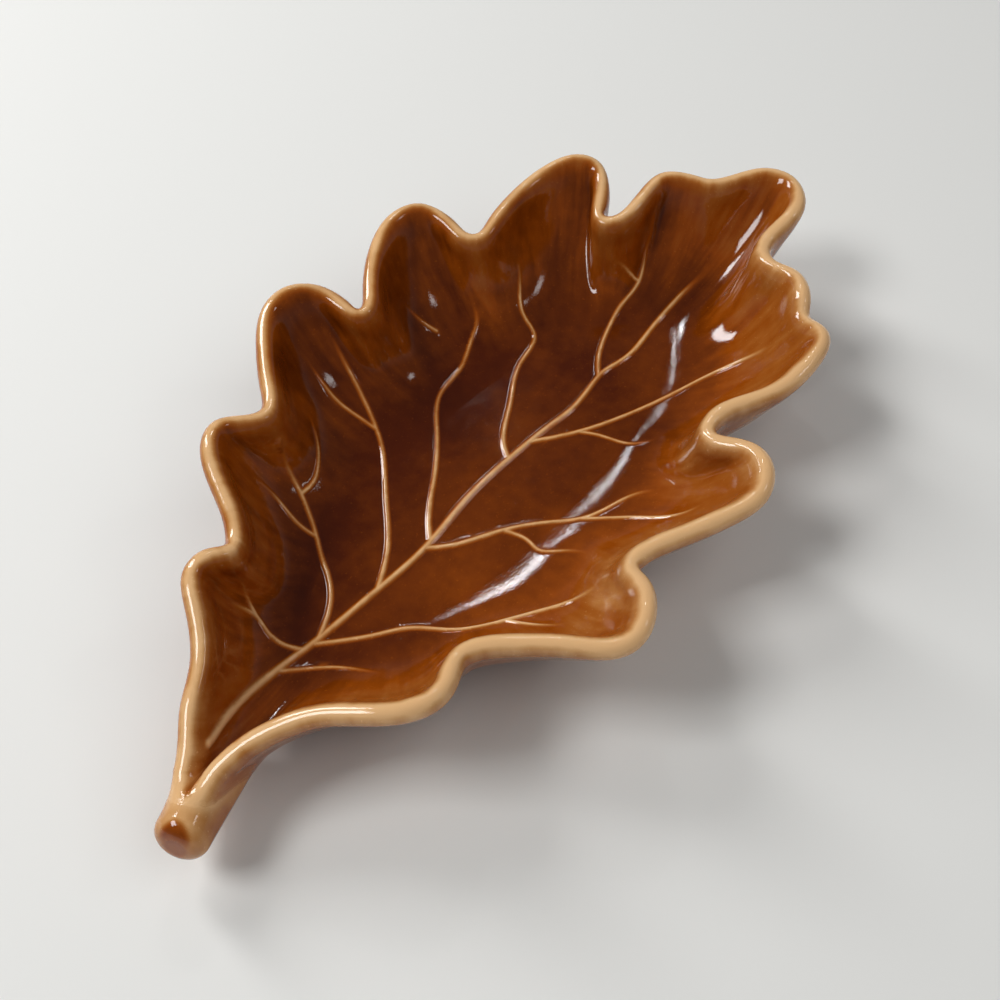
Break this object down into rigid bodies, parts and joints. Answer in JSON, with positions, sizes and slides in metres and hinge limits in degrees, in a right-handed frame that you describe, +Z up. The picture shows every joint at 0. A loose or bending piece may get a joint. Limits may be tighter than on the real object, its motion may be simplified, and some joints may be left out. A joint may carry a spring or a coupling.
{
  "type": "ring dish",
  "caption": "Shallow leaf-shaped glazed ceramic dish with a fluted rim, raised veins and a solid stem, for rings and small things.",
  "frame": {"origin": "middle of the oval foot ring, on the surface that the dish stands on", "axes": "+Z up out of the hollow; +X along the midrib towards the leaf's tip, so the stem is at -X"},
  "size_m": [0.1551, 0.0867, 0.0229],
  "materials": {
    "bare_clay": "matt bisque",
    "glaze": "glossy caramel glaze, dark where it pools and tan where it breaks over edges"
  },
  "bodies": {
    "root": {"clay_body": "bare_clay", "glaze_coat": "glaze", "recess_glaze": "glaze"}
  },
  "joints": []
}
